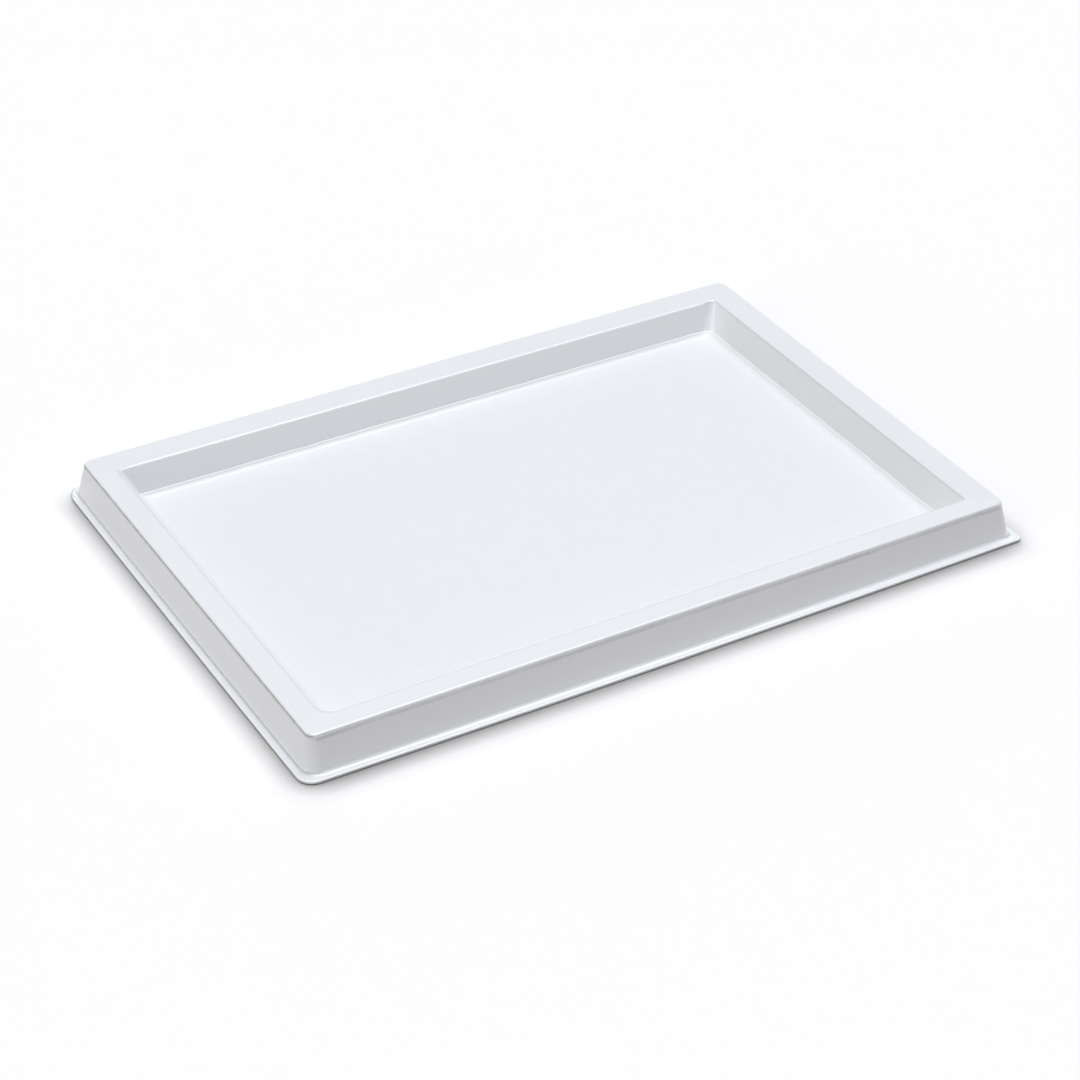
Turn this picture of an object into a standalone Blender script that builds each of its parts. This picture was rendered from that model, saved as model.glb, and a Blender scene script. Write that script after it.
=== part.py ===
"""A wet palette: a thermoformed white tray, the absorbent reservoir pad that lies on its floor and holds
the water, and the membrane sheet of palette paper that lies on the pad and takes the paint.

Metres, +Z up. +X runs along the tray's long side. The origin is the centre of the footprint, on the
surface that the tray's flange stands on.
"""

import math

import bmesh
import bpy
from mathutils import Vector

# Tray, overall
RIM_LENGTH = 0.400  # over the rim's outer edges, where the outer walls' planes meet the rim's plane
RIM_WIDTH = 0.267
HEIGHT = 0.0215  # from the underside of the flange to the rim's outer edge, before that edge is rounded
SHEET = 0.0016  # thickness of the formed plastic

# Tray, cross-section from the flange up to the rim and down into the well
END_REACH = 0.0072  # how far the flange's tip stands out past the rim at the two ends
LONG_SIDE_REACH = 0.0084  # and along the two long sides, whose walls lean out a little more
OUTER_DRAFT = math.radians(9.7)  # the end walls' lean from upright
RIM_BAND = 0.0144  # width of the rim from the outer wall's plane to the well wall's plane
RIM_FALL = 0.0022  # the rim slopes down this much towards the well
WELL_DEPTH = 0.0190  # from the top of the rim to the tray's floor
WELL_DRAFT = math.radians(28.0)  # the well walls' lean from upright

# Tray, radii of the cross-section's bends, on the upper side of the sheet
FLANGE_BEND = 0.0028
RIM_EDGE = 0.0014
MOUTH_EDGE = 0.0014
FLOOR_BEND = 0.0075
TIGHTEST_BEND = 0.0005  # the sheet's lower side bends no tighter than this over the rim

# Tray, radii of the corners seen from above: back right, back left, front left and front right
FLANGE_CORNER = (0.0080, 0.0115, 0.0085, 0.0030)
WALL_FOOT_CORNER = (0.0050, 0.0045, 0.0080, 0.0045)
RIM_CORNER = (0.0050, 0.0050, 0.0050, 0.0050)
MOUTH_CORNER = (0.0025, 0.0025, 0.0080, 0.0025)
FLOOR_CORNER = (0.0055, 0.0025, 0.0080, 0.0040)

# What lies in the well
GAP = 0.0003  # clearance between pieces that rest on each other
PAD_THICKNESS = 0.0008
PAD_MARGIN = 0.0010  # how far the pad stays inside the foot of the well's walls
PAPER_THICKNESS = 0.00025
PAPER_MARGIN = 0.0002

# Fineness
BEND_STEPS = 5  # segments round each bend of the cross-section
CORNER_STEPS = 7  # segments round each corner seen from above

PLASTIC_WHITE = (0.82, 0.84, 0.86)
PAPER_WHITE = (0.84, 0.86, 0.88)
PAD_WHITE = (0.78, 0.77, 0.73)


def clear_scene():
    for old in list(bpy.data.objects):
        bpy.data.objects.remove(old, do_unlink=True)


def material(name, colour, roughness):
    """A plain Principled material, which is all that these unpainted pieces need."""
    made = bpy.data.materials.new(name)
    made.use_nodes = True
    shader = made.node_tree.nodes["Principled BSDF"]
    shader.inputs["Base Color"].default_value = (*colour, 1.0)
    shader.inputs["Roughness"].default_value = roughness
    shader.inputs["Metallic"].default_value = 0.0
    return made


def well_foot():
    """How far inside the rim's outer edge the planes of the well's wall and of its floor meet."""
    return RIM_BAND + (WELL_DEPTH - RIM_FALL) * math.tan(WELL_DRAFT)


def well_inset_at(height_over_floor):
    """How far inside the rim's outer edge the well's wall is, at a height within the floor bend."""
    tangent_length = FLOOR_BEND * math.tan((math.pi / 2 - WELL_DRAFT) / 2)
    drop = FLOOR_BEND - height_over_floor
    return well_foot() + tangent_length - math.sqrt(FLOOR_BEND**2 - drop**2)


def rim_section():
    """The sheet's upper side as sharp corners, from the flange's tip to where the well's floor begins.

    Each corner is (reach outside the rim, height, bend radius, corner radii seen from above). The bend
    radius is positive where the sheet turns up out of the flange or the floor, and negative over the rim.
    """
    wall_foot = (HEIGHT - SHEET) * math.tan(OUTER_DRAFT)
    floor = HEIGHT - WELL_DEPTH
    return [
        (END_REACH, SHEET, 0.0, FLANGE_CORNER),
        (wall_foot, SHEET, FLANGE_BEND, WALL_FOOT_CORNER),
        (0.0, HEIGHT, -RIM_EDGE, RIM_CORNER),
        (-RIM_BAND, HEIGHT - RIM_FALL, -MOUTH_EDGE, MOUTH_CORNER),
        (-well_foot(), floor, FLOOR_BEND, FLOOR_CORNER),
        (-well_foot() - FLOOR_BEND, floor, 0.0, FLOOR_CORNER),
    ]


def below(section, depth):
    """The same section offset by the sheet's thickness to the sheet's lower side, bends concentric where the
    sheet can bend that tightly."""
    points = [Vector(corner[:2]) for corner in section]
    runs = [(b - a).normalized() for a, b in zip(points, points[1:])]
    normals = [Vector((-run.y, run.x)) for run in runs]
    offset = []
    for index, (corner, point) in enumerate(zip(section, points)):
        before = normals[max(index - 1, 0)]
        after = normals[min(index, len(normals) - 1)]
        mitre = (before + after) / (1.0 + before.dot(after))
        place = point + mitre * depth
        radius = corner[2] + depth if corner[2] else 0.0
        if corner[2] < 0:
            radius = min(radius, -TIGHTEST_BEND)
        offset.append((place.x, place.y, radius, corner[3]))
    return offset


def bend(previous, corner, following):
    """Points round one corner of a section, as (reach, height, corner radii seen from above)."""
    here, radius, plan = Vector(corner[:2]), abs(corner[2]), corner[3]
    if not radius:
        return [(here.x, here.y, plan)]
    to_previous = (Vector(previous[:2]) - here).normalized()
    to_following = (Vector(following[:2]) - here).normalized()
    half_angle = to_previous.angle(to_following) / 2
    centre = here + (to_previous + to_following).normalized() * radius / math.sin(half_angle)
    start = here + to_previous * radius / math.tan(half_angle) - centre
    sweep = start.angle_signed(here + to_following * radius / math.tan(half_angle) - centre)
    points = []
    for step in range(BEND_STEPS + 1):
        angle = math.atan2(start.y, start.x) - sweep * step / BEND_STEPS
        points.append((centre.x + radius * math.cos(angle), centre.y + radius * math.sin(angle), plan))
    return points


def rounded(section):
    """The whole section with its bends rounded."""
    points = []
    for index, corner in enumerate(section):
        previous = section[max(index - 1, 0)]
        following = section[min(index + 1, len(section) - 1)]
        points += bend(previous, corner, following)
    return points


def ring(mesh, reach, height, corner_radii):
    """A rounded rectangle of vertices that stands `reach` outside the rim's ends."""
    side_reach = reach * LONG_SIDE_REACH / END_REACH if reach > 0 else reach
    half_length, half_width = RIM_LENGTH / 2 + reach, RIM_WIDTH / 2 + side_reach
    vertices = []
    for quarter in range(4):
        side_x = 1 if quarter in (0, 3) else -1
        side_y = 1 if quarter in (0, 1) else -1
        radius = corner_radii[quarter]
        centre_x = side_x * (half_length - radius)
        centre_y = side_y * (half_width - radius)
        for step in range(CORNER_STEPS + 1):
            angle = math.pi / 2 * (quarter + step / CORNER_STEPS)
            x = centre_x + radius * math.cos(angle)
            y = centre_y + radius * math.sin(angle)
            vertices.append(mesh.verts.new((x, y, height)))
    return vertices


def bridge(mesh, lower, upper):
    """Quads between two rings. Faces point out where `upper` is the next ring up a solid's side."""
    for index, vertex in enumerate(lower):
        after = (index + 1) % len(lower)
        mesh.faces.new((vertex, lower[after], upper[after], upper[index]))


def finish(name, mesh, made_of, smooth_up_to):
    """Turns a bmesh into a named object with its material and smooth bends."""
    data = bpy.data.meshes.new(name)
    bmesh.ops.recalc_face_normals(mesh, faces=mesh.faces)
    mesh.to_mesh(data)
    mesh.free()
    data.materials.append(made_of)
    data.shade_smooth()
    data.set_sharp_from_angle(angle=smooth_up_to)
    made = bpy.data.objects.new(name, data)
    bpy.context.collection.objects.link(made)
    return made


def make_tray():
    """The formed sheet: its upper and lower sides are swept round the rim and joined at the trimmed edge."""
    upper_section = rim_section()
    lower_section = below(upper_section, SHEET)
    mesh = bmesh.new()
    upper = [ring(mesh, *point) for point in rounded(upper_section)]
    lower = [ring(mesh, *point) for point in rounded(lower_section)]
    around = lower[::-1] + upper
    for one, another in zip(around, around[1:]):
        bridge(mesh, one, another)
    mesh.faces.new(upper[-1])
    mesh.faces.new(lower[-1])
    return finish("tray", mesh, material("gloss_white_plastic", PLASTIC_WHITE, 0.3), math.radians(40))


def make_layer(name, bottom, thickness, inset, made_of):
    """A flat sheet or pad with rounded corners, `inset` from the rim's outer edge."""
    mesh = bmesh.new()
    low = ring(mesh, -inset, bottom, FLOOR_CORNER)
    high = ring(mesh, -inset, bottom + thickness, FLOOR_CORNER)
    bridge(mesh, low, high)
    mesh.faces.new(low)
    mesh.faces.new(high)
    return finish(name, mesh, made_of, math.radians(40))


def make_palette():
    floor = HEIGHT - WELL_DEPTH
    pad_bottom = floor + GAP
    paper_bottom = pad_bottom + PAD_THICKNESS + GAP
    make_tray()
    make_layer(
        "reservoir",
        pad_bottom,
        PAD_THICKNESS,
        well_inset_at(GAP) + PAD_MARGIN,
        material("absorbent_pad", PAD_WHITE, 0.95),
    )
    make_layer(
        "membrane",
        paper_bottom,
        PAPER_THICKNESS,
        well_inset_at(paper_bottom - floor) + GAP + PAPER_MARGIN,
        material("palette_paper", PAPER_WHITE, 0.6),
    )


clear_scene()
make_palette()
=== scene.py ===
"""The wet palette's looks: a glossy white formed tray, the felt pad that lies in it and the sheet of
damp palette paper that lies on the pad, on a white table under a soft overhead light.

Metres, in the frame's own axes: +X along the tray's long side, +Z up, the table at z = 0.
"""

import math

import bmesh
import bpy
import numpy as np
from mathutils import Matrix, Vector, noise


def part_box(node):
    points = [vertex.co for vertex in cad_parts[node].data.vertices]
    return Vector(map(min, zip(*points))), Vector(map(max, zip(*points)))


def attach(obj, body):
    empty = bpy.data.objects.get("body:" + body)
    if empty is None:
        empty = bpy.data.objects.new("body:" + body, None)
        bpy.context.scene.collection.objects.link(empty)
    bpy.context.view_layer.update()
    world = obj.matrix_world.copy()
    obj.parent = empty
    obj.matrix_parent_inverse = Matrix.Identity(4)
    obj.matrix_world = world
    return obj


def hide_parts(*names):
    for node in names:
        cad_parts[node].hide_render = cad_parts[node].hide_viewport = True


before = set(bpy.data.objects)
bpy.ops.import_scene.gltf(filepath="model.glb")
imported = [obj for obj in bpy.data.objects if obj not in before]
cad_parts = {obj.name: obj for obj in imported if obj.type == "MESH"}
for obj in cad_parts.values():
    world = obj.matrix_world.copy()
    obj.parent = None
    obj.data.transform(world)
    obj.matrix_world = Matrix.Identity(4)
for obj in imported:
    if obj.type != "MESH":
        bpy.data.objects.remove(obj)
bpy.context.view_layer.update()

# The tray's shape, as in the CAD model
TRAY_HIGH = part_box("tray")[1]
END_REACH = 0.0072  # how far the flange's tip stands out past the rim at the two ends
LONG_SIDE_REACH = 0.0084  # and along the two long sides
HALF_LENGTH = TRAY_HIGH.x - END_REACH  # of the rim
HALF_WIDTH = TRAY_HIGH.y - LONG_SIDE_REACH
HEIGHT = 0.0215  # of the rim's outer edge before it is rounded
SHEET = 0.0016  # thickness of the formed plastic
OUTER_DRAFT = math.radians(9.7)  # the end walls' lean from upright
RIM_BAND = 0.0144  # width of the rim
RIM_FALL = 0.0022  # the rim slopes down this much towards the well
WELL_DEPTH = 0.0190
WELL_DRAFT = math.radians(28.0)  # the well walls' lean from upright
FLOOR = HEIGHT - WELL_DEPTH
WALL_FOOT = (HEIGHT - SHEET) * math.tan(OUTER_DRAFT)  # how far outside the rim the outer walls end
LIP_LINE = 0.0009  # a faint line runs along the flange this far inside its trimmed edge
THIN_LINE, LINE, BROAD_LINE = 0.0004, 0.0005, 0.0006  # how far the lines of painted shade and painted highlight fade out

# Radii of the bends in the tray's cross-section, on the sheet's upper side
TRIM_BREAK = 0.00035  # the trimmed edge's scraped corners
FLANGE_BEND = 0.0028
RIM_EDGE = 0.0014
MOUTH_EDGE = 0.0014
FLOOR_BEND = 0.0075
TIGHTEST_BEND = 0.0005  # the sheet's lower side bends no tighter than this over the rim

# Radii of the corners seen from above: back right, back left, front left and front right
FLANGE_CORNER = (0.0080, 0.0115, 0.0085, 0.0030)
WALL_FOOT_CORNER = (0.0050, 0.0045, 0.0080, 0.0045)
RIM_CORNER = (0.0050, 0.0050, 0.0050, 0.0050)
MOUTH_CORNER = (0.0025, 0.0025, 0.0080, 0.0025)
FLOOR_CORNER = (0.0055, 0.0025, 0.0080, 0.0040)

# How far forming and trimming bowed the sides out halfway along, at the flange and at the rim
LONG_BOW = (0.0014, 0.0003)
END_BOW = (0.0003, 0.0001)

# The slow waves that forming left in the sheet
WARP = 0.00004  # their depth
LONG_WAVE = 0.045
SHORT_WAVE = 0.017

# The palette paper's margin, which turns up along the foot of the well's walls
CREASE_BEYOND = 0.0022  # it starts this far beyond the place where the floor begins to bend up
PAPER_MARGIN = (0.0044, 0.0046, 0.0047, 0.0032)  # its width at the right, back, left and front
MARGIN_WANDER = 0.0005  # how unevenly it is cut
TURN_PLACES = (0.0, 0.08, 0.72, 0.80, 0.86, 1.0)  # shares of the margin, from its crease to its edge
TURN_SLOPES = (0.0, 0.24, 0.66, 0.95, 0.15, 0.0)  # how steeply it rises there, in radians
PAPER_TURN_STEPS = 32
MARGIN_LIGHT_REACH = 0.011  # how far in from its edges the painted light on the paper fades out
MARGIN_LIGHT_SHARES = (0.3, 1.0, 0.2)  # how much painted light its back, left and right edges get

# The pad's and the paper's flat parts have rings this far inside their edges
PAD_RINGS = (0.100, 0.060, 0.030, 0.012, 0.004)
PAPER_RINGS = (0.104, 0.090, 0.075, 0.060, 0.045, 0.030, 0.018, 0.009, 0.004, 0.0015, 0.0)

# Fineness of the swept meshes
BEND_STEP = 0.0003  # longest step round a bend
FLAT_STEP = 0.0012  # longest step across a flat
CORNER_STEPS = 18
CORNER_ZONE = 0.030  # near its corners a side has short steps
ZONE_STEP = 0.0012
SIDE_STEP = 0.0060


def stations(half_length, half_width, radius):
    """Places round a rounded rectangle, each (corner, turn, along): turn runs 0 to 1 round the corner,
    then along runs 0 to 1 down the side that follows it. Steps are short near the corners."""
    places = []
    for corner in range(4):
        side = 2 * (half_length if corner % 2 == 0 else half_width) - 2 * radius
        near = np.arange(ZONE_STEP, CORNER_ZONE, ZONE_STEP)
        middle_steps = round((side - 2 * CORNER_ZONE) / SIDE_STEP)
        middle = np.linspace(CORNER_ZONE, side - CORNER_ZONE, middle_steps)
        runs = np.concatenate([near, middle, side - near[::-1]]) / side
        places += [(corner, step / CORNER_STEPS, 0.0) for step in range(CORNER_STEPS + 1)]
        places += [(corner, 1.0, run) for run in runs]
    return np.array(places)


PLACES = stations(HALF_LENGTH, HALF_WIDTH, RIM_CORNER[0])


def rounded_rectangle(half_length, half_width, radii):
    """The points of PLACES round a rectangle of that size, as an array of x and y."""
    corner = PLACES[:, 0]
    signs = np.array([(1, 1), (-1, 1), (-1, -1), (1, -1)])

    def on_corner(which, turn):
        radius = np.array(radii)[which.astype(int) % 4, None]
        centre = signs[which.astype(int) % 4] * ((half_length, half_width) - radius)
        angle = math.pi / 2 * (which + turn)
        return centre + radius * np.stack([np.cos(angle), np.sin(angle)], axis=1)

    here = on_corner(corner, PLACES[:, 1])
    following = on_corner(corner + 1, np.zeros_like(corner))
    along = PLACES[:, 2:]
    return here * (1 - along) + following * along


def tray_ring(reach, height, *radii):
    """One ring of the tray: a rounded rectangle that stands `reach` outside the rim's ends, bowed out
    halfway along its sides."""
    side_reach = reach * LONG_SIDE_REACH / END_REACH if reach > 0 else reach
    points = rounded_rectangle(HALF_LENGTH + reach, HALF_WIDTH + side_reach, radii)
    middle = 4 * PLACES[:, 2] * (1 - PLACES[:, 2])
    up = min(max(height / HEIGHT, 0.0), 1.0)
    on_long_side = PLACES[:, 0] % 2 == 0
    if reach > -RIM_BAND / 2:
        bow = np.where(on_long_side, np.interp(up, (0, 1), LONG_BOW), np.interp(up, (0, 1), END_BOW))
        outward = np.where(on_long_side, np.sign(points[:, 1]), np.sign(points[:, 0]))
        points[on_long_side, 1] += (bow * middle * outward)[on_long_side]
        points[~on_long_side, 0] += (bow * middle * outward)[~on_long_side]
    return np.column_stack([points, np.full(len(points), height)])


def well_foot():
    """How far inside the rim's outer edge the planes of the well's wall and of its floor meet."""
    return RIM_BAND + (WELL_DEPTH - RIM_FALL) * math.tan(WELL_DRAFT)


def upper_section():
    """The sheet's upper side, from the well's floor out to the flange's tip, as corners of
    (reach outside the rim, height, bend radius, corner radii seen from above)."""
    return [
        (-well_foot() - 1.4 * FLOOR_BEND, FLOOR, 0.0, FLOOR_CORNER),
        (-well_foot(), FLOOR, FLOOR_BEND, FLOOR_CORNER),
        (-RIM_BAND, HEIGHT - RIM_FALL, -MOUTH_EDGE, MOUTH_CORNER),
        (0.0, HEIGHT, -RIM_EDGE, RIM_CORNER),
        (WALL_FOOT, SHEET, FLANGE_BEND, WALL_FOOT_CORNER),
        (END_REACH, SHEET, 0.0, FLANGE_CORNER),
    ]


def below(section, depth):
    """The section offset to the sheet's lower side, bends concentric where the sheet can bend that
    tightly."""
    points = [Vector(corner[:2]) for corner in section]
    runs = [(b - a).normalized() for a, b in zip(points, points[1:])]
    normals = [Vector((run.y, -run.x)) for run in runs]
    offset = []
    for index, (corner, point) in enumerate(zip(section, points)):
        before = normals[max(index - 1, 0)]
        after = normals[min(index, len(normals) - 1)]
        place = point + (before + after) / (1.0 + before.dot(after)) * depth
        radius = corner[2] + depth if corner[2] else 0.0
        if corner[2] < 0:
            radius = min(radius, -TIGHTEST_BEND)
        offset.append((place.x, place.y, radius, corner[3]))
    return offset


def bend(previous, corner, following):
    """Points round one corner of a section, each (reach, height, the four corner radii seen from
    above)."""
    here, radius, plan = Vector(corner[:2]), abs(corner[2]), corner[3]
    if not radius:
        return [(here.x, here.y, *plan)]
    to_previous = (Vector(previous[:2]) - here).normalized()
    to_following = (Vector(following[:2]) - here).normalized()
    half_angle = to_previous.angle(to_following) / 2
    centre = here + (to_previous + to_following).normalized() * radius / math.sin(half_angle)
    start = here + to_previous * radius / math.tan(half_angle) - centre
    sweep = start.angle_signed(here + to_following * radius / math.tan(half_angle) - centre)
    steps = max(4, math.ceil(abs(sweep) * radius / BEND_STEP))
    first = math.atan2(start.y, start.x)
    angles = [first - sweep * step / steps for step in range(steps + 1)]
    return [(centre.x + radius * math.cos(a), centre.y + radius * math.sin(a), *plan) for a in angles]


def section_points(section):
    """The section with its bends rounded and its flats divided."""
    rounded = []
    for index, corner in enumerate(section):
        rounded += bend(section[max(index - 1, 0)], corner, section[min(index + 1, len(section) - 1)])
    points = [rounded[0]]
    for one, another in zip(rounded, rounded[1:]):
        start = np.array(one)
        run = np.array(another) - one
        steps = max(1, math.ceil(math.dist(one[:2], another[:2]) / FLAT_STEP))
        points += [tuple(start + run * step / steps) for step in range(1, steps + 1)]
    return points


def mesh_from_rings(name, rings, cap_last=True):
    """A mesh of quads between rings of equal length, with a face across the first ring, and across the
    last one unless that is the mesh's open edge."""
    mesh = bmesh.new()
    rows = [[mesh.verts.new(point) for point in ring] for ring in rings]
    for one, another in zip(rows, rows[1:]):
        for index in range(len(one)):
            after = (index + 1) % len(one)
            mesh.faces.new((one[index], one[after], another[after], another[index]))
    mesh.faces.new(rows[0])
    if cap_last:
        mesh.faces.new(rows[-1])
    bmesh.ops.recalc_face_normals(mesh, faces=mesh.faces)
    data = bpy.data.meshes.new(name)
    mesh.to_mesh(data)
    mesh.free()
    data.shade_smooth()
    made = bpy.data.objects.new(name, data)
    bpy.context.collection.objects.link(made)
    return made


def keep_flats_flat(made):
    """Weighted normals, so that the shading of a bend doesn't spread over the flats beside it."""
    weighted = made.modifiers.new("weighted_normals", "WEIGHTED_NORMAL")
    weighted.weight = 100
    weighted.keep_sharp = True


def point_attribute(made, name, values):
    """Stores one number for each vertex, for the material to read."""
    stored = made.data.attributes.new(name, "FLOAT", "POINT")
    stored.data.foreach_set("value", np.asarray(values, np.float32))


# ---- materials ----


def new_material(name):
    """A material, its nodes and its Principled shader."""
    made = bpy.data.materials.new(name)
    made.use_nodes = True
    return made, made.node_tree, made.node_tree.nodes["Principled BSDF"]


def node(tree, kind, inputs=None, **settings):
    """A shader node with its settings; an input is a value or another node's socket."""
    made = tree.nodes.new("ShaderNode" + kind)
    for name, value in settings.items():
        setattr(made, name, value)
    for name, value in (inputs or {}).items():
        if isinstance(value, bpy.types.NodeSocket):
            tree.links.new(value, made.inputs[name])
        else:
            made.inputs[name].default_value = value
    return made


def on_piece(tree, scale=(1.0, 1.0, 1.0)):
    """Where a point is on its piece, with each axis scaled."""
    coordinates = node(tree, "TexCoord").outputs["Object"]
    return node(tree, "Mapping", {"Vector": coordinates, "Scale": scale}).outputs["Vector"]


def cloud(tree, where, size, detail=2.0, roughness=0.5):
    """Noise whose lumps are about `size` metres across, 0 to 1."""
    inputs = {"Vector": where, "Scale": 1.0 / size, "Detail": detail, "Roughness": roughness}
    return node(tree, "TexNoise", inputs).outputs["Fac"]


def remap(tree, value, from_low, from_high, to_low, to_high):
    inputs = {
        "Value": value,
        "From Min": from_low,
        "From Max": from_high,
        "To Min": to_low,
        "To Max": to_high,
    }
    return node(tree, "MapRange", inputs, clamp=True).outputs["Result"]


def attribute(tree, name):
    """The number that point_attribute stored under that name."""
    return node(tree, "Attribute", attribute_name=name).outputs["Fac"]


def maths(tree, operation, one, another):
    return node(tree, "Math", {0: one, 1: another}, operation=operation).outputs["Value"]


def mixed(tree, factor, one, another):
    """Colour `one` where factor is 0 and `another` where it is 1."""
    made = node(tree, "Mix", {0: factor}, data_type="RGBA")
    for index, value in ((6, one), (7, another)):
        if isinstance(value, bpy.types.NodeSocket):
            tree.links.new(value, made.inputs[index])
        else:
            made.inputs[index].default_value = (*value, 1.0)
    return made.outputs[2]


def bumped(tree, height, depth, under=None):
    """A bump of `depth` metres, on top of another bump's normal."""
    inputs = {"Height": height, "Distance": depth, "Strength": 1.0}
    if under is not None:
        inputs["Normal"] = under
    return node(tree, "Bump", inputs).outputs["Normal"]


# Linear colours of the pieces
PLASTIC = (0.712, 0.706, 0.710)
PLASTIC_SHADE = (0.698, 0.692, 0.698)
PLASTIC_LIT = (0.798, 0.800, 0.808)  # painted light, on the flange, the outer walls' foot and the well's walls
PLASTIC_SCRAPED_HIGHLIGHT = (0.86, 0.85, 0.85)  # where trimming scraped it, made light enough to paint the edge's highlight too
# grey of the painted shade along the tray's bends and creases and at the top of its outer walls
SHADE_GREY = (0.20, 0.195, 0.19)
PAPER = (0.694, 0.686, 0.687)  # damp
PAPER_SHADE = (0.682, 0.675, 0.677)
# painted light, towards the paper's left, back and right edges
PAPER_MARGIN_LIGHT = (0.738, 0.732, 0.736)
FELT = (0.66, 0.65, 0.60)
# painted shade in the felt's hollows and pin pricks
FELT_HOLLOW_SHADE = (0.58, 0.57, 0.52)


def plastic_material():
    """Formed white polystyrene: satin gloss, a faint orange peel, hairline scuffs and a duller sawn edge
    round the flange. Its colour carries painted shade in grey lines along its bends and at the top of
    its outer walls, painted light on its flange, the outer walls' foot and the well, and a painted
    highlight along its trimmed edge."""
    made, tree, shader = new_material("formed_white_plastic")
    here = on_piece(tree)
    tone = mixed(tree, remap(tree, cloud(tree, here, 0.12), 0.35, 0.65, 0, 1), PLASTIC, PLASTIC_SHADE)
    speck = remap(tree, cloud(tree, here, 0.0030, 3.0, 0.6), 0.30, 0.60, 0.7, 1)
    # painted light: lighter flange, outer walls' foot and well walls
    lightened = mixed(tree, attribute(tree, "painted_light"), tone, PLASTIC_LIT)
    # trim scraping plus a painted highlight along the flange's trimmed edge
    edged = mixed(tree, attribute(tree, "scraped_highlight"), lightened, PLASTIC_SCRAPED_HIGHLIGHT)
    # painted shade: grey lines along the rim's edge, the well's mouth, the walls' foot and the flange's
    # lip
    painted_shade = maths(tree, "MULTIPLY", attribute(tree, "painted_shade"), speck)
    colour = mixed(tree, painted_shade, edged, SHADE_GREY)
    hairlines = cloud(tree, on_piece(tree, (1.0, 14.0, 1.0)), 0.004, 4.0, 0.65)
    crossing = cloud(tree, on_piece(tree, (12.0, 1.0, 1.0)), 0.005, 4.0, 0.65)
    scuffs = maths(tree, "MULTIPLY", hairlines, crossing)
    sawn = attribute(tree, "sawn")
    satin = remap(tree, scuffs, 0.15, 0.42, 0.19, 0.22)
    roughness = maths(tree, "ADD", satin, maths(tree, "MULTIPLY", sawn, 0.22))
    peel = bumped(tree, cloud(tree, here, 0.0016, 2.0), 0.000002)
    saw_marks = maths(tree, "MULTIPLY", cloud(tree, on_piece(tree, (1.0, 1.0, 0.12)), 0.0006, 3.0), sawn)
    normal = bumped(tree, saw_marks, 0.00008, peel)
    tree.links.new(colour, shader.inputs["Base Color"])
    tree.links.new(roughness, shader.inputs["Roughness"])
    tree.links.new(normal, shader.inputs["Normal"])
    shader.inputs["IOR"].default_value = 1.55
    shader.inputs["Subsurface Weight"].default_value = 0.04
    shader.inputs["Subsurface Radius"].default_value = (0.0012, 0.0011, 0.0010)
    shader.inputs["Subsurface Scale"].default_value = 1.0
    return made


def paper_material():
    """Damp white palette paper: fine fibres, cloudy formation and the sheen of a coated sheet, with
    painted light that makes it lighter towards its left, back and right edges.
    """
    made, tree, shader = new_material("palette_paper")
    here = on_piece(tree)
    formation = remap(tree, cloud(tree, here, 0.007, 4.0, 0.6), 0.35, 0.65, 0, 1)
    along = cloud(tree, on_piece(tree, (1.0, 5.0, 1.0)), 0.0022, 5.0, 0.7)
    across = cloud(tree, on_piece(tree, (5.0, 1.0, 1.0)), 0.0022, 5.0, 0.7)
    fibres = maths(tree, "MULTIPLY", along, across)
    damp = mixed(tree, formation, PAPER, PAPER_SHADE)
    # painted light: the paper lighter towards its left, back and right edges
    colour = mixed(tree, attribute(tree, "margin_light"), damp, PAPER_MARGIN_LIGHT)
    normal = bumped(tree, fibres, 0.00003)
    tree.links.new(colour, shader.inputs["Base Color"])
    tree.links.new(remap(tree, fibres, 0.15, 0.40, 0.36, 0.48), shader.inputs["Roughness"])
    tree.links.new(normal, shader.inputs["Normal"])
    shader.inputs["IOR"].default_value = 1.45
    return made


def felt_material():
    """Needled viscose felt, off-white: a mat of fibres with pin pricks, dull and soft, its colour darker
    in the hollows and pricks as painted shade.
    """
    made, tree, shader = new_material("reservoir_felt")
    here = on_piece(tree)
    mat = cloud(tree, here, 0.0011, 6.0, 0.75)
    pricks = node(tree, "TexVoronoi", {"Vector": here, "Scale": 1 / 0.0016}).outputs["Distance"]
    hollows = remap(tree, pricks, 0.0, 0.35, 0, 1)
    relief = maths(tree, "MULTIPLY", mat, hollows)
    # painted shade: darker where the relief is low, in the hollows and pin pricks
    colour = mixed(tree, remap(tree, relief, 0.1, 0.6, 0, 1), FELT_HOLLOW_SHADE, FELT)
    tree.links.new(colour, shader.inputs["Base Color"])
    tree.links.new(bumped(tree, relief, 0.00025), shader.inputs["Normal"])
    shader.inputs["Roughness"].default_value = 0.95
    shader.inputs["Sheen Weight"].default_value = 0.25
    shader.inputs["Sheen Roughness"].default_value = 0.5
    return made


# ---- the tray ----


def formed_wave(point):
    """Height of the slow waves that forming leaves in the sheet, about -1 to 1."""
    slow = noise.noise(Vector(point) / LONG_WAVE)
    quick = noise.noise(Vector(point) / SHORT_WAVE + Vector((7.1, 3.3, 5.9)))
    return 0.75 * slow + 0.35 * quick


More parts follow.
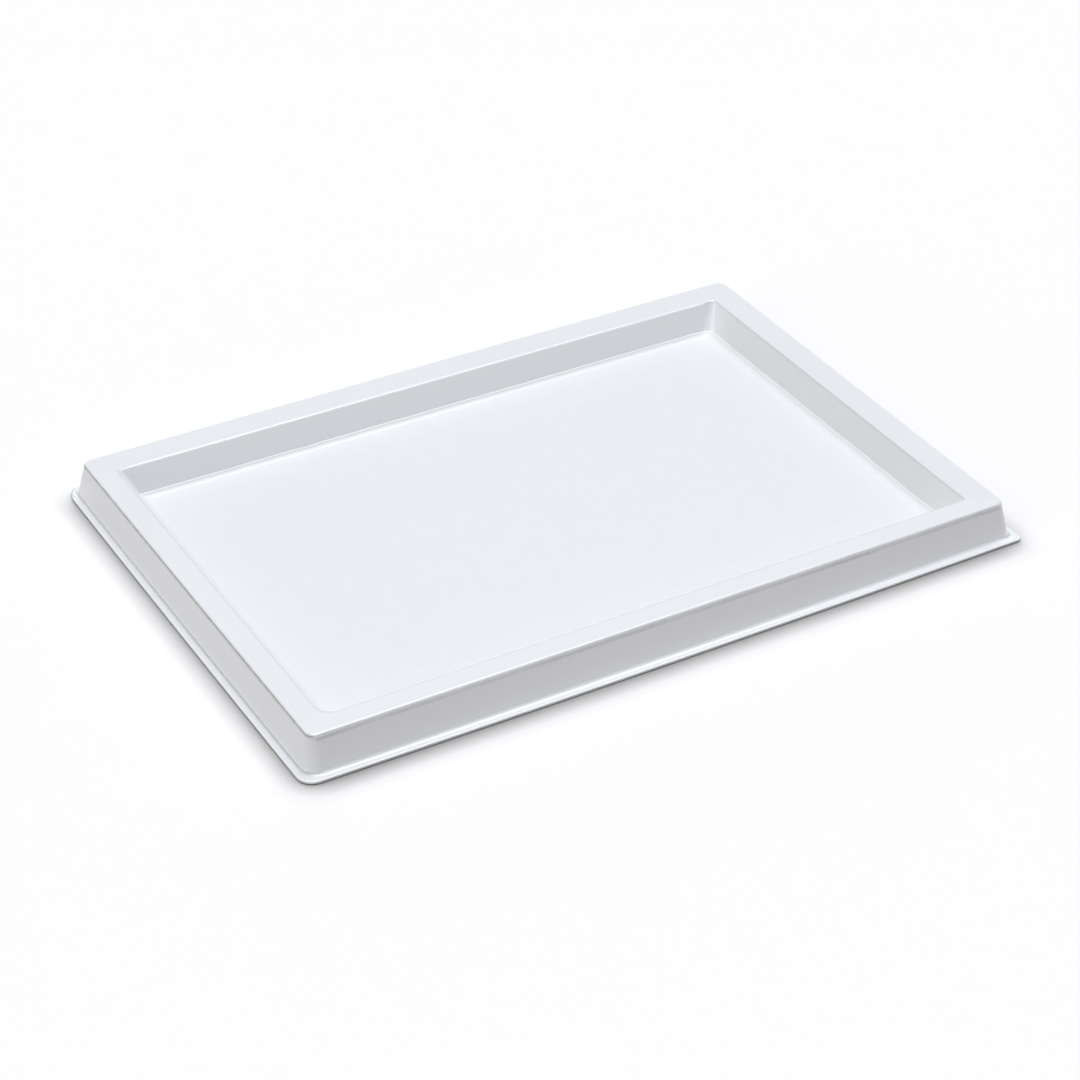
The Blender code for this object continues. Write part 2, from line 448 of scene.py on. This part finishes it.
def make_tray():
    """The formed sheet: rings swept over its upper side, round its trimmed edge and back under it."""
    upper = upper_section()
    lower = below(upper, SHEET)
    tip = [
        (END_REACH - LIP_LINE, SHEET, 0.0, FLANGE_CORNER),
        (END_REACH, SHEET, TRIM_BREAK, FLANGE_CORNER),
        (END_REACH, 0.0, TRIM_BREAK, FLANGE_CORNER),
    ]
    section = upper[:-1] + tip + lower[-2::-1]
    points = section_points(section)
    rings = [tray_ring(*point) for point in points]
    made = mesh_from_rings("formed_tray", rings)
    count = len(PLACES)
    reach = np.repeat([point[0] for point in points], count)
    height = np.repeat([point[1] for point in points], count)
    warp_tray(made)
    places = np.array([vertex.co for vertex in made.data.vertices])
    # painted shade, in grey lines along the tray's bends and creases
    point_attribute(made, "painted_shade", painted_shade_lines(places, reach, height))
    # painted light on the flange, the outer walls' foot and the well
    point_attribute(made, "painted_light", painted_light_share(places, reach, height))
    # painted highlight along the flange's trimmed edge, on top of trim scraping
    point_attribute(made, "scraped_highlight", line_along(reach, height, END_REACH - 0.0001, SHEET, THIN_LINE))
    point_attribute(made, "sawn", (reach > END_REACH - 0.1 * TRIM_BREAK) * 1.0)
    keep_flats_flat(made)
    made.data.materials.append(plastic_material())
    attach(made, "tray")
    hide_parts("tray")


def warp_tray(made):
    """Moves the sheet's surfaces by the slow waves of forming, fading to nothing where the flange
    stands."""
    data = made.data
    count = len(data.vertices)
    places = np.empty(count * 3)
    normals = np.empty(count * 3)
    data.vertices.foreach_get("co", places)
    data.vertex_normals.foreach_get("vector", normals)
    places, normals = places.reshape(-1, 3), normals.reshape(-1, 3)
    lift = np.clip((places[:, 2] - 0.0005) / 0.004, 0, 1)
    wave = np.array([formed_wave(place) for place in places]) * WARP * lift
    outward = np.where(normals[:, 2:] < -0.2, -normals, normals)
    places = places + outward * wave[:, None]
    data.vertices.foreach_set("co", places.ravel())
    data.update()


def line_along(reach, height, at_reach, at_height, width):
    """1 on the line that runs round the tray at that place of its cross-section, and less within about
    `width` of it."""
    return np.exp(-((reach - at_reach) ** 2 + (height - at_height) ** 2) / width**2)


def wander(places, size, layer=0.0):
    """Slow noise over the given places, -1 to 1, in lumps about `size` metres long."""
    points = [Vector((x / size, y / size, layer)) for x, y in places[:, :2]]
    return np.array([noise.noise(point) for point in points])


def painted_shade_lines(places, reach, height):
    """How grey painted shade makes each point of the tray, 0 to 1."""
    on_end = np.clip((np.abs(places[:, 0]) - (HALF_LENGTH - 0.005)) / 0.004, 0, 1)
    lines = rim_edge_shade(places, reach, height, on_end)
    lines += flange_shade(reach, height, on_end)
    lines += mouth_shade(places, reach, height)
    return lines + wall_top_shade(reach, height)


def rim_edge_shade(places, reach, height, on_end):
    """Painted shade under the rim's edge: one line at each end, darker at the left, and two broken lines
    along each long side, darker at the front."""
    drift = wander(places, 0.016)
    patchy = np.clip(0.75 + 0.5 * wander(places, 0.030, 3.0), 0, 1)
    end_line = line_along(reach, height, 0.0, HEIGHT - 0.0010, LINE)
    low_line = line_along(reach, height, 0.0003, HEIGHT - 0.0022 - 0.0004 * drift, BROAD_LINE)
    high_line = line_along(reach, height, -0.0001, HEIGHT - 0.0008, LINE)
    end_share = np.where(places[:, 0] < 0, 0.85, 0.30)
    side_share = np.where(places[:, 1] < 0, 0.50, 0.25)
    at_end = end_share * end_line * on_end
    at_side = side_share * (low_line + 0.55 * high_line) * patchy * (1 - on_end)
    return np.where(on_end > 0.5, at_end, at_side)


def flange_shade(reach, height, on_end):
    """Painted shade in the foot of the outer walls, a little higher along the long sides, and in a faint
    line along the flange's lip."""
    foot_reach = WALL_FOOT + 0.0001 + 0.0003 * on_end
    foot_height = SHEET + 0.0015 - 0.0008 * on_end
    foot = line_along(reach, height, foot_reach, foot_height, LINE)
    lip = line_along(reach, height, END_REACH - LIP_LINE, SHEET, THIN_LINE)
    return foot * (0.20 + 0.30 * on_end) + lip * (0.22 - 0.10 * on_end)


def mouth_shade(places, reach, height):
    """Painted shade round the well's mouth: under its edge at the right, and on the rim beside it at the
    left and the front."""
    beside = np.abs(places[:, 0]) / HALF_LENGTH > np.abs(places[:, 1]) / HALF_WIDTH
    at_right = beside & (places[:, 0] > 0)
    at_left = beside & (places[:, 0] < 0)
    in_front = ~beside & (places[:, 1] < 0)
    under = line_along(reach, height, -RIM_BAND, HEIGHT - RIM_FALL - 0.0002, THIN_LINE)
    above = line_along(reach, height, 0.0006 - RIM_BAND, HEIGHT - RIM_FALL, THIN_LINE)
    return 0.36 * under * at_right + above * (0.24 * at_left + 0.20 * in_front)


def wall_top_shade(reach, height):
    """Painted shade over the outer walls, darker towards their top."""
    return 0.10 * np.clip((height - 0.004) / (HEIGHT - 0.006), 0, 1) * (reach > 0)


def painted_light_share(places, reach, height):
    """How much painted light lightens each point of the sheet, 0 to 1: most at the flange, the foot of
    the outer walls and the well's back wall, some in the well's corners, least on its other walls and
    none on the rim."""
    foot = well_foot()
    along = HALF_LENGTH - foot - np.abs(places[:, 0])
    across = HALF_WIDTH - foot - np.abs(places[:, 1])
    from_corner = np.hypot(np.clip(along, 0, None), np.clip(across, 0, None))
    in_corner = np.exp(-((from_corner / 0.018) ** 2))
    back_wall = np.clip((places[:, 1] / HALF_WIDTH - 0.75) / 0.1, 0, 1)
    in_well = (reach < -RIM_BAND) & (reach > -foot - FLOOR_BEND)
    well = np.minimum(0.10 + 0.90 * back_wall + 0.45 * in_corner, 1) * in_well
    down_wall = np.clip((HEIGHT - height) / (HEIGHT - SHEET), 0, 1) ** 3 * (reach > 0)
    return well + down_wall


# ---- the pad and the paper ----


def make_reservoir():
    """The felt pad: a flat layer whose edges are rounded."""
    low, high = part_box("reservoir")
    thickness = high.z - low.z
    edge = thickness / 2
    middle = (low.z + high.z) / 2
    rings = [layer_ring(high, inset, middle - edge) for inset in PAD_RINGS]
    for angle in np.linspace(-math.pi / 2, math.pi / 2, 9):
        rings.append(layer_ring(high, edge * (1 - math.cos(angle)), middle + edge * math.sin(angle)))
    rings += [layer_ring(high, inset, middle + edge) for inset in reversed(PAD_RINGS)]
    made = mesh_from_rings("reservoir_felt", rings)
    made.data.materials.append(felt_material())
    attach(made, "reservoir")
    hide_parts("reservoir")


def layer_ring(high, inset, height):
    """One ring of the pad, `inset` inside the outline whose highest corner is `high`."""
    radii = np.maximum(np.array(FLOOR_CORNER) - inset, 0.001)
    points = rounded_rectangle(high.x - inset, high.y - inset, radii)
    return np.column_stack([points, np.full(len(points), height)])


def make_membrane():
    """The sheet of palette paper: flat on the pad, with its margin turned up along the foot of the
    well's walls."""
    low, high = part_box("membrane")
    tangent = well_foot() + FLOOR_BEND * math.tan((math.pi / 2 - WELL_DRAFT) / 2)
    flat_inset = tangent - CREASE_BEYOND
    rings = [paper_ring(flat_inset + inset, high.z) for inset in PAPER_RINGS]
    rings += turned_rings(flat_inset, high.z)
    made = mesh_from_rings("membrane_paper", rings, cap_last=False)
    # painted light along the paper's left, back and right edges
    point_attribute(made, "margin_light", margin_light_share(np.concatenate(rings), flat_inset))
    solid = made.modifiers.new("paper_thickness", "SOLIDIFY")
    solid.thickness = high.z - low.z
    solid.offset = -1.0
    made.data.materials.append(paper_material())
    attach(made, "membrane")
    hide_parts("membrane")


def paper_ring(inset, height):
    """One ring of the paper, `inset` inside the rim's outer edge."""
    radii = np.minimum(FLOOR_CORNER, HALF_WIDTH - inset - 0.0005)
    points = rounded_rectangle(HALF_LENGTH - inset, HALF_WIDTH - inset, radii)
    return np.column_stack([points, np.full(len(points), height)])


def turned_rings(flat_inset, height):
    """The sheet's margin: it turns up from a soft crease, and its edge curls level again beside the
    wall."""
    start = paper_ring(flat_inset, height)
    small = 0.001
    outward = (paper_ring(flat_inset - small, height) - start) / small
    facing = math.pi / 2 * (PLACES[:, 0] + PLACES[:, 1])
    sides = [np.maximum(np.cos(facing - math.pi / 2 * side), 0) ** 2 for side in range(4)]
    uneven = wander(start, 0.022) + 0.5 * wander(start, 0.007)
    margin = np.dot(PAPER_MARGIN, sides) + MARGIN_WANDER * np.minimum(uneven, 0.2)
    across, rise = 0.0, 0.0
    rings = []
    for step in range(PAPER_TURN_STEPS):
        slope = np.interp((step + 0.5) / PAPER_TURN_STEPS, TURN_PLACES, TURN_SLOPES)
        across += math.cos(slope) / PAPER_TURN_STEPS
        rise += math.sin(slope) / PAPER_TURN_STEPS
        ring = start + outward * (across * margin)[:, None]
        ring[:, 2] += rise * margin
        rings.append(ring)
    return rings


def margin_light_share(places, flat_inset):
    """How much painted light lightens each point of the sheet, 0 to 1: most along the left, some at the
    back and the right, and little in the middle."""
    half_length, half_width = HALF_LENGTH - flat_inset, HALF_WIDTH - flat_inset
    from_back = half_width - places[:, 1]
    from_left = half_length + places[:, 0]
    from_right = half_length - places[:, 0]
    inside = np.clip([from_back, from_left, from_right], 0, None)
    return np.clip(np.dot(MARGIN_LIGHT_SHARES, np.exp(-inside / MARGIN_LIGHT_REACH)), 0, 1)


# ---- camera, light and table ----

HORIZON = (1.02, 1.02, 1.02)
SURROUND = (0.16, 0.167, 0.175)
HORIZON_FADE = (0.14, 0.20)  # one turns into the other between these heights, 1 being straight up
TABLE = (0.82, 0.785, 0.775)
BLACK = (0.0, 0.0, 0.0)
TABLE_SIZE = 24.0
SHADOW_FROM = (0.24, 0.70, 0.67)  # the table's contact shadow falls away from this direction
SHADOW_REACH = 0.016
SHADOW_POWER = 1.7


def make_camera():
    """A long lens from the front left, well above the tray, with the slight roll of a camera held by
    hand."""
    azimuth, elevation, roll = math.radians(-30.67), math.radians(34.30), math.radians(0.85)
    aim = Vector((-0.0272, -0.0467, HEIGHT))
    distance = 1.4456
    level = math.cos(elevation)
    back = Vector((math.sin(azimuth) * level, -math.cos(azimuth) * level, math.sin(elevation)))
    right = Vector((math.cos(azimuth), math.sin(azimuth), 0.0))
    up = back.cross(right)
    rolled_right = right * math.cos(roll) + up * math.sin(roll)
    rolled_up = up * math.cos(roll) - right * math.sin(roll)
    lens = bpy.data.cameras.new("camera")
    lens.lens = 95.6
    lens.sensor_width = 36.0
    camera = bpy.data.objects.new("camera", lens)
    bpy.context.collection.objects.link(camera)
    turned = Matrix((rolled_right, rolled_up, back)).transposed().to_4x4()
    camera.matrix_world = Matrix.Translation(aim + back * distance) @ turned
    bpy.context.scene.camera = camera


def soft_light(name, azimuth, elevation, spread, strength, colour):
    """A far soft light. Its azimuth is counted from +X towards +Y; its spread is how wide it looks, all
    in degrees. Strength 1 gives a facing white surface a brightness of 1."""
    light = bpy.data.lights.new(name, "SUN")
    light.energy = math.pi * strength
    light.angle = math.radians(spread)
    light.color = colour
    made = bpy.data.objects.new(name, light)
    bpy.context.collection.objects.link(made)
    level = math.cos(math.radians(elevation))
    across = (level * math.cos(math.radians(azimuth)), level * math.sin(math.radians(azimuth)))
    towards = Vector((*across, math.sin(math.radians(elevation))))
    made.rotation_mode = "QUATERNION"
    made.rotation_quaternion = towards.to_track_quat("Z", "Y")


def make_light():
    """A soft key light overhead, soft boxes at the left and low in front, and a dim surround whose
    horizon is white."""
    soft_light("key", 40, 67, 28, 0.62, (0.95, 1.0, 1.05))
    soft_light("top", 0, 90, 36, 0.295, (0.95, 1.0, 1.04))
    soft_light("left", 170, 45, 36, 0.18, (0.99, 1.0, 1.01))
    soft_light("low_left", 190, 20, 30, 0.11, (1.0, 1.0, 1.0))
    soft_light("front_low", 296, 16, 24, 0.015, (1.06, 0.96, 0.95))
    soft_light("edge", 300, 45, 30, 0.035, (1.0, 1.0, 1.0))
    soft_light("sheen", 58, 17, 36, 0.04, (0.95, 1.0, 1.05))
    world = bpy.data.worlds.new("surround")
    world.use_nodes = True
    bpy.context.scene.world = world
    tree = world.node_tree
    direction = node(tree, "TexCoord").outputs["Generated"]
    height = node(tree, "SeparateXYZ", {"Vector": direction}).outputs["Z"]
    upwards = remap(tree, height, *HORIZON_FADE, 0.0, 1.0)
    colour = mixed(tree, upwards, HORIZON, SURROUND)
    background = tree.nodes["Background"]
    tree.links.new(colour, background.inputs["Color"])
    background.inputs["Strength"].default_value = 1.0
    bpy.context.scene.view_settings.view_transform = "Standard"
    bpy.context.scene.view_settings.look = "None"


def make_table():
    """A wide white table. Its material darkens it next to the tray, on the side away from the light."""
    mesh = bmesh.new()
    bmesh.ops.create_grid(mesh, x_segments=1, y_segments=1, size=TABLE_SIZE / 2)
    data = bpy.data.meshes.new("table")
    mesh.to_mesh(data)
    mesh.free()
    table = bpy.data.objects.new("table", data)
    bpy.context.collection.objects.link(table)
    made, tree, shader = new_material("white_table")
    towards_light = node(tree, "CombineXYZ", dict(zip("XYZ", SHADOW_FROM))).outputs["Vector"]
    inputs = {"Distance": SHADOW_REACH, "Normal": towards_light}
    openness = node(tree, "AmbientOcclusion", inputs, samples=12).outputs["AO"]
    lit = maths(tree, "POWER", openness, SHADOW_POWER)
    tree.links.new(mixed(tree, lit, BLACK, TABLE), shader.inputs["Base Color"])
    shader.inputs["Roughness"].default_value = 1.0
    shader.inputs["Specular IOR Level"].default_value = 0.0
    data.materials.append(made)


make_camera()
make_light()
make_table()
make_tray()
make_reservoir()
make_membrane()
